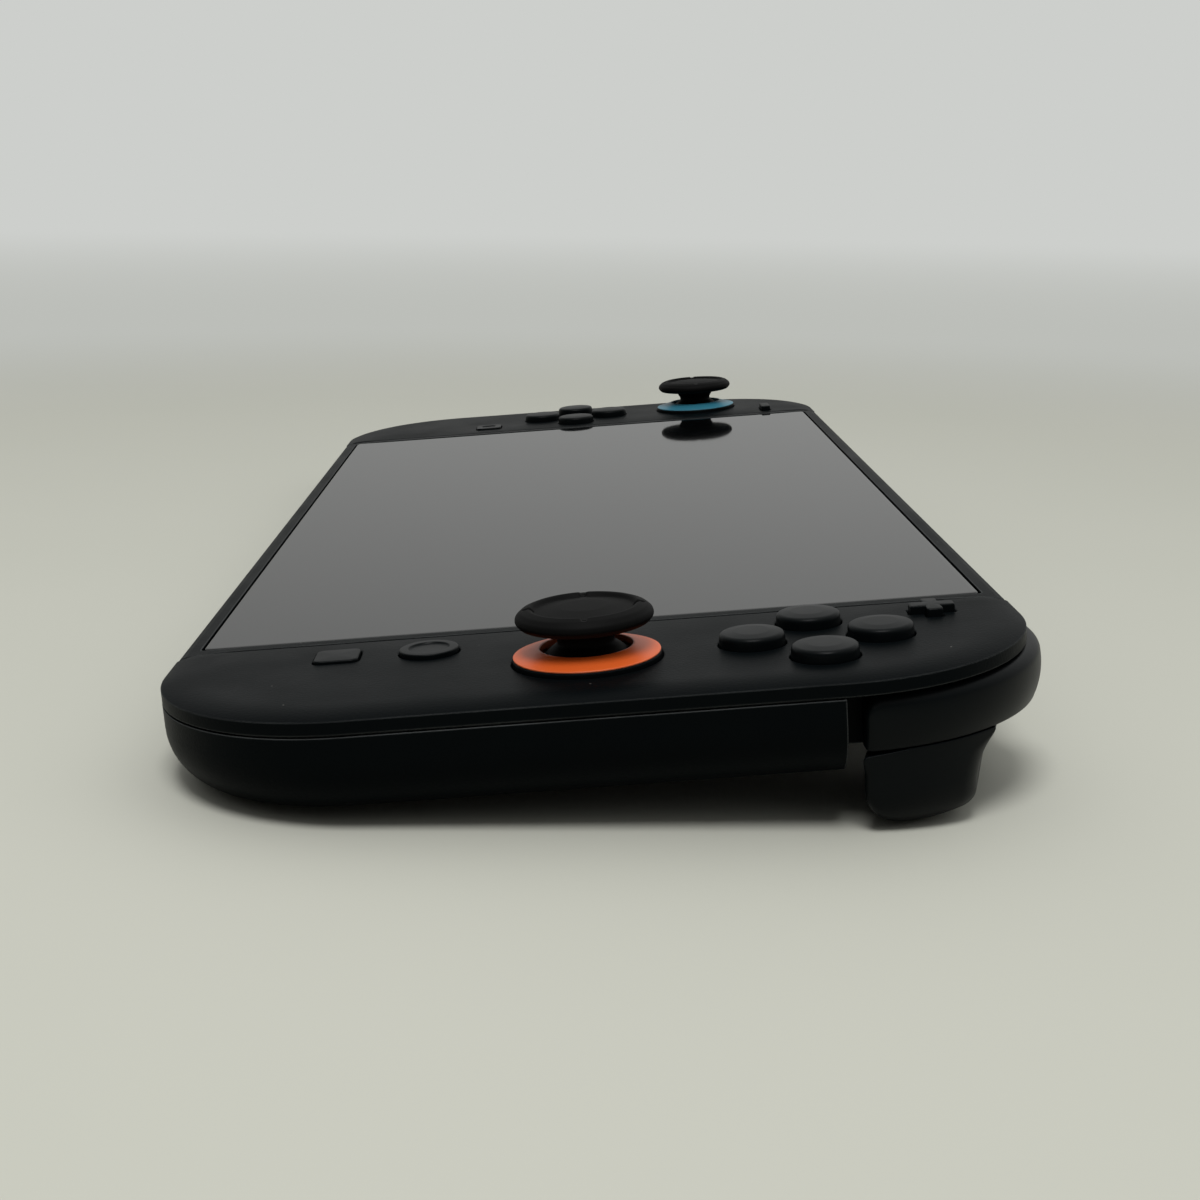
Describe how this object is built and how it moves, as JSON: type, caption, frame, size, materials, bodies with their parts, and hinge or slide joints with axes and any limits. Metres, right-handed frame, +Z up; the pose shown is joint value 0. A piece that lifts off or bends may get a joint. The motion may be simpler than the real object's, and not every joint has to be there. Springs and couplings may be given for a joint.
{
  "type": "handheld game console",
  "caption": "Handheld game console: a glass-fronted tablet with a folding rear stand between two pull-off controllers with sticks, buttons, shoulder keys and triggers.",
  "frame": {"origin": "on the table, under the middle of the console's bounding box, with the console lying on its back as it rests", "axes": "+X along the console's length to its right end, +Y from its bottom edge to its top edge, +Z up from the table, out of the screen"},
  "size_m": [0.272, 0.1184, 0.0296],
  "materials": {
    "shell_black": "fine moulded grain",
    "cover_glass": "polished, black behind",
    "panel": "smooth",
    "plate_aluminium": "stamped sheet",
    "board_green": "circuit board lacquer",
    "heat_copper": "drawn copper",
    "inner_plastic": "moulded",
    "cell_wrap": "film wrap",
    "steel": "plain",
    "stand_coat": "matte black coat",
    "orange_plastic": "satin",
    "blue_plastic": "satin",
    "stick_rubber": "matte",
    "button_black": "satin"
  },
  "bodies": {
    "console": {"rear_housing": "shell_black", "bezel_frame": "shell_black", "display_glass": "cover_glass", "display_panel": "panel", "mid_plate": "plate_aluminium", "main_board": "board_green", "heat_sink": "heat_copper", "fan_housing": "inner_plastic", "battery_pack": "cell_wrap", "speakers": "inner_plastic", "card_reader": "steel", "audio_jack": "steel", "usb_ports": "steel", "rail_docks": "steel", "kickstand_pins": "steel", "housing_screws": "steel"},
    "fan": {"fan_rotor": "inner_plastic"},
    "card_flap": {"card_door": "shell_black"},
    "power_key": {"power_button": "button_black"},
    "volume_key": {"volume_rocker": "button_black"},
    "stand": {"kickstand": "stand_coat"},
    "right_controller": {"right_front_shell": "shell_black", "right_rear_shell": "shell_black", "right_rail_plate": "orange_plastic", "right_stick_ring": "orange_plastic", "right_board": "board_green", "right_cell": "cell_wrap"},
    "right_gimbal": {"right_stick_yoke": "steel"},
    "right_stick": {"right_stick_cap": "stick_rubber"},
    "right_key_top": {"right_button_top": "button_black"},
    "right_key_bottom": {"right_button_bottom": "button_black"},
    "right_key_inner": {"right_button_inner": "button_black"},
    "right_key_outer": {"right_button_outer": "button_black"},
    "plus_key": {"plus_button": "button_black"},
    "home_key": {"home_button": "button_black"},
    "chat_key": {"chat_button": "button_black"},
    "right_bumper": {"right_shoulder": "button_black"},
    "right_trigger_lever": {"right_trigger": "button_black"},
    "right_release_key": {"right_release": "button_black"},
    "right_rail_key_upper": {"right_rail_button_upper": "steel"},
    "right_rail_key_lower": {"right_rail_button_lower": "steel"},
    "left_controller": {"left_front_shell": "shell_black", "left_rear_shell": "shell_black", "left_rail_plate": "blue_plastic", "left_stick_ring": "blue_plastic", "left_board": "board_green", "left_cell": "cell_wrap"},
    "left_gimbal": {"left_stick_yoke": "steel"},
    "left_stick": {"left_stick_cap": "stick_rubber"},
    "left_key_top": {"left_button_top": "button_black"},
    "left_key_bottom": {"left_button_bottom": "button_black"},
    "left_key_inner": {"left_button_inner": "button_black"},
    "left_key_outer": {"left_button_outer": "button_black"},
    "minus_key": {"minus_button": "button_black"},
    "capture_key": {"capture_button": "button_black"},
    "left_bumper": {"left_shoulder": "button_black"},
    "left_trigger_lever": {"left_trigger": "button_black"},
    "left_release_key": {"left_release": "button_black"},
    "left_rail_key_upper": {"left_rail_button_upper": "steel"},
    "left_rail_key_lower": {"left_rail_button_lower": "steel"}
  },
  "joints": [
    {"name": "fan_spin", "type": "hinge", "parent": "console", "child": "fan", "pos_m": [0.046, 0.0322, 0.01178], "axis": [0, -0.0864, 0.9963], "continuous": true},
    {"name": "card_door_hinge", "type": "hinge", "parent": "console", "child": "card_flap", "pos_m": [-0.074, 0.05635, 0.01458], "axis": [-1, 0, 0], "range_deg": [0, 95]},
    {"name": "power_press", "type": "slide", "parent": "console", "child": "power_key", "axis": [0, -0.9963, -0.0864], "range_m": [0, 0.0005], "stiffness_N_per_m": 600, "springref_m": -0.0008},
    {"name": "volume_rock", "type": "hinge", "parent": "console", "child": "volume_key", "pos_m": [-0.026, 0.05143, 0.01576], "axis": [0, -0.0864, 0.9963], "range_deg": [-2, 2], "stiffness_Nm_per_rad": 0.02},
    {"name": "stand_fold", "type": "hinge", "parent": "console", "child": "stand", "pos_m": [0, -0.0108, 0.00534], "axis": [1, 0, 0], "range_deg": [0, 150]},
    {"name": "right_controller_pull", "type": "slide", "parent": "console", "child": "right_controller", "axis": [1, 0, 0], "range_m": [0, 0.012]},
    {"name": "right_stick_sideways", "type": "hinge", "parent": "right_controller", "child": "right_gimbal", "pos_m": [0.1182, -0.00187, 0.01355], "axis": [0, 0.9963, 0.0864], "range_deg": [-11, 11], "stiffness_Nm_per_rad": 0.02},
    {"name": "right_stick_up_down", "type": "hinge", "parent": "right_gimbal", "child": "right_stick", "pos_m": [0.1182, -0.00187, 0.01355], "axis": [1, 0, 0], "range_deg": [-11, 11], "stiffness_Nm_per_rad": 0.02},
    {"name": "right_top_press", "type": "slide", "parent": "right_controller", "child": "right_key_top", "axis": [0, 0.0864, -0.9963], "range_m": [0, 0.0009], "stiffness_N_per_m": 600, "springref_m": -0.0008},
    {"name": "right_bottom_press", "type": "slide", "parent": "right_controller", "child": "right_key_bottom", "axis": [0, 0.0864, -0.9963], "range_m": [0, 0.0009], "stiffness_N_per_m": 600, "springref_m": -0.0008},
    {"name": "right_inner_press", "type": "slide", "parent": "right_controller", "child": "right_key_inner", "axis": [0, 0.0864, -0.9963], "range_m": [0, 0.0009], "stiffness_N_per_m": 600, "springref_m": -0.0008},
    {"name": "right_outer_press", "type": "slide", "parent": "right_controller", "child": "right_key_outer", "axis": [0, 0.0864, -0.9963], "range_m": [0, 0.0009], "stiffness_N_per_m": 600, "springref_m": -0.0008},
    {"name": "plus_press", "type": "slide", "parent": "right_controller", "child": "plus_key", "axis": [0, 0.0864, -0.9963], "range_m": [0, 0.0004], "stiffness_N_per_m": 600, "springref_m": -0.0008},
    {"name": "home_press", "type": "slide", "parent": "right_controller", "child": "home_key", "axis": [0, 0.0864, -0.9963], "range_m": [0, 0.0004], "stiffness_N_per_m": 600, "springref_m": -0.0008},
    {"name": "chat_press", "type": "slide", "parent": "right_controller", "child": "chat_key", "axis": [0, 0.0864, -0.9963], "range_m": [0, 0.0004], "stiffness_N_per_m": 600, "springref_m": -0.0008},
    {"name": "right_shoulder_press", "type": "hinge", "parent": "right_controller", "child": "right_bumper", "pos_m": [0.13295, 0.03548, 0.01538], "axis": [0, -0.0864, 0.9963], "range_deg": [0, 2.2], "stiffness_Nm_per_rad": 0.5, "springref_deg": -2.86},
    {"name": "right_trigger_pull", "type": "hinge", "parent": "right_controller", "child": "right_trigger_lever", "pos_m": [0.11131, 0.0437, 0.01409], "axis": [-0.9627, 0.2696, 0.0234], "range_deg": [0, 4.5], "stiffness_Nm_per_rad": 0.2, "springref_deg": -6.88},
    {"name": "right_release_press", "type": "slide", "parent": "right_controller", "child": "right_release_key", "axis": [0, -0.0864, 0.9963], "range_m": [0, 0.0005], "stiffness_N_per_m": 600, "springref_m": -0.0008},
    {"name": "right_rail_upper_press", "type": "slide", "parent": "right_controller", "child": "right_rail_key_upper", "axis": [1, 0, 0], "range_m": [0, 0.0005], "stiffness_N_per_m": 600, "springref_m": -0.0008},
    {"name": "right_rail_lower_press", "type": "slide", "parent": "right_controller", "child": "right_rail_key_lower", "axis": [1, 0, 0], "range_m": [0, 0.0005], "stiffness_N_per_m": 600, "springref_m": -0.0008},
    {"name": "left_controller_pull", "type": "slide", "parent": "console", "child": "left_controller", "axis": [-1, 0, 0], "range_m": [0, 0.012]},
    {"name": "left_stick_sideways", "type": "hinge", "parent": "left_controller", "child": "left_gimbal", "pos_m": [-0.1182, 0.02851, 0.01618], "axis": [0, 0.9963, 0.0864], "range_deg": [-11, 11], "stiffness_Nm_per_rad": 0.02},
    {"name": "left_stick_up_down", "type": "hinge", "parent": "left_gimbal", "child": "left_stick", "pos_m": [-0.1182, 0.02851, 0.01618], "axis": [1, 0, 0], "range_deg": [-11, 11], "stiffness_Nm_per_rad": 0.02},
    {"name": "left_top_press", "type": "slide", "parent": "left_controller", "child": "left_key_top", "axis": [0, 0.0864, -0.9963], "range_m": [0, 0.0009], "stiffness_N_per_m": 600, "springref_m": -0.0008},
    {"name": "left_bottom_press", "type": "slide", "parent": "left_controller", "child": "left_key_bottom", "axis": [0, 0.0864, -0.9963], "range_m": [0, 0.0009], "stiffness_N_per_m": 600, "springref_m": -0.0008},
    {"name": "left_inner_press", "type": "slide", "parent": "left_controller", "child": "left_key_inner", "axis": [0, 0.0864, -0.9963], "range_m": [0, 0.0009], "stiffness_N_per_m": 600, "springref_m": -0.0008},
    {"name": "left_outer_press", "type": "slide", "parent": "left_controller", "child": "left_key_outer", "axis": [0, 0.0864, -0.9963], "range_m": [0, 0.0009], "stiffness_N_per_m": 600, "springref_m": -0.0008},
    {"name": "minus_press", "type": "slide", "parent": "left_controller", "child": "minus_key", "axis": [0, 0.0864, -0.9963], "range_m": [0, 0.0004], "stiffness_N_per_m": 600, "springref_m": -0.0008},
    {"name": "capture_press", "type": "slide", "parent": "left_controller", "child": "capture_key", "axis": [0, 0.0864, -0.9963], "range_m": [0, 0.0004], "stiffness_N_per_m": 600, "springref_m": -0.0008},
    {"name": "left_shoulder_press", "type": "hinge", "parent": "left_controller", "child": "left_bumper", "pos_m": [-0.13295, 0.03548, 0.01538], "axis": [0, 0.0864, -0.9963], "range_deg": [0, 2.2], "stiffness_Nm_per_rad": 0.5, "springref_deg": -2.86},
    {"name": "left_trigger_pull", "type": "hinge", "parent": "left_controller", "child": "left_trigger_lever", "pos_m": [-0.11131, 0.0437, 0.01409], "axis": [-0.9627, -0.2696, -0.0234], "range_deg": [0, 4.5], "stiffness_Nm_per_rad": 0.2, "springref_deg": -6.88},
    {"name": "left_release_press", "type": "slide", "parent": "left_controller", "child": "left_release_key", "axis": [0, -0.0864, 0.9963], "range_m": [0, 0.0005], "stiffness_N_per_m": 600, "springref_m": -0.0008},
    {"name": "left_rail_upper_press", "type": "slide", "parent": "left_controller", "child": "left_rail_key_upper", "axis": [-1, 0, 0], "range_m": [0, 0.0005], "stiffness_N_per_m": 600, "springref_m": -0.0008},
    {"name": "left_rail_lower_press", "type": "slide", "parent": "left_controller", "child": "left_rail_key_lower", "axis": [-1, 0, 0], "range_m": [0, 0.0005], "stiffness_N_per_m": 600, "springref_m": -0.0008}
  ]
}
